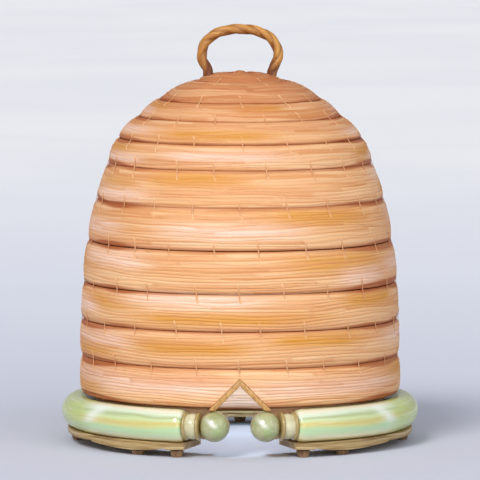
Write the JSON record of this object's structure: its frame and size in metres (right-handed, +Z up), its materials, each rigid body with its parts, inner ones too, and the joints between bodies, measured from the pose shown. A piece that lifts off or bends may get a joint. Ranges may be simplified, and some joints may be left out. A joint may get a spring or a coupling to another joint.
{
  "type": "beehive",
  "caption": "Domed straw skep beehive with a loop handle and a gabled doorway, standing inside a painted ring stand with ball ends on small feet.",
  "frame": {"origin": "on the skep's upright axis, on the ground plane under the feet", "axes": "+Z up along the skep's axis, the doorway faces -Y, +X to the right of a person who faces the doorway"},
  "size_m": [0.443, 0.4391, 0.5177],
  "materials": {
    "straw": "matte",
    "pale_straw": "matte",
    "dark_straw": "matte",
    "willow": "satin",
    "hazel": "matte",
    "door_board": "satin",
    "green_paint": "gloss",
    "collar_paint": "gloss",
    "ball_paint": "gloss",
    "brown_wood": "satin",
    "bare_wood": "matte"
  },
  "bodies": {
    "stand": {"bolster_left": "green_paint", "bolster_right": "green_paint", "bolster_dowel": "bare_wood", "collar_left": "collar_paint", "collar_right": "collar_paint", "ball_left": "ball_paint", "ball_right": "ball_paint", "finial_dowel_left": "bare_wood", "finial_dowel_right": "bare_wood", "rail_left": "brown_wood", "rail_right": "brown_wood", "foot_front_left": "brown_wood", "foot_front_right": "brown_wood", "foot_flank_left": "brown_wood", "foot_flank_right": "brown_wood", "foot_side_left": "brown_wood", "foot_side_right": "brown_wood", "foot_rear_left": "brown_wood", "foot_rear_right": "brown_wood", "foot_back": "brown_wood"},
    "skep": {"crown_knot": "dark_straw", "straw_row_01": "straw", "straw_row_02": "straw", "straw_row_03": "straw", "straw_row_04": "straw", "straw_row_05": "straw", "straw_row_06": "straw", "straw_row_07": "straw", "straw_row_08": "straw", "straw_row_09": "straw", "straw_row_10": "straw", "straw_row_11": "straw", "rim_row": "pale_straw", "handle_hoop": "willow", "handle_toggle": "bare_wood", "handle_pin_left": "bare_wood", "handle_pin_right": "bare_wood", "door_gable_left": "door_board", "door_gable_right": "door_board", "door_jamb_left": "door_board", "door_jamb_right": "door_board", "cross_stick_across_a": "hazel", "cross_stick_across_b": "hazel", "cross_stick_through_a": "hazel", "cross_stick_through_b": "hazel"}
  },
  "joints": [
    {"name": "hive_lift", "type": "slide", "parent": "stand", "child": "skep", "axis": [0, 0, 1], "range_m": [0, 0.12]}
  ]
}
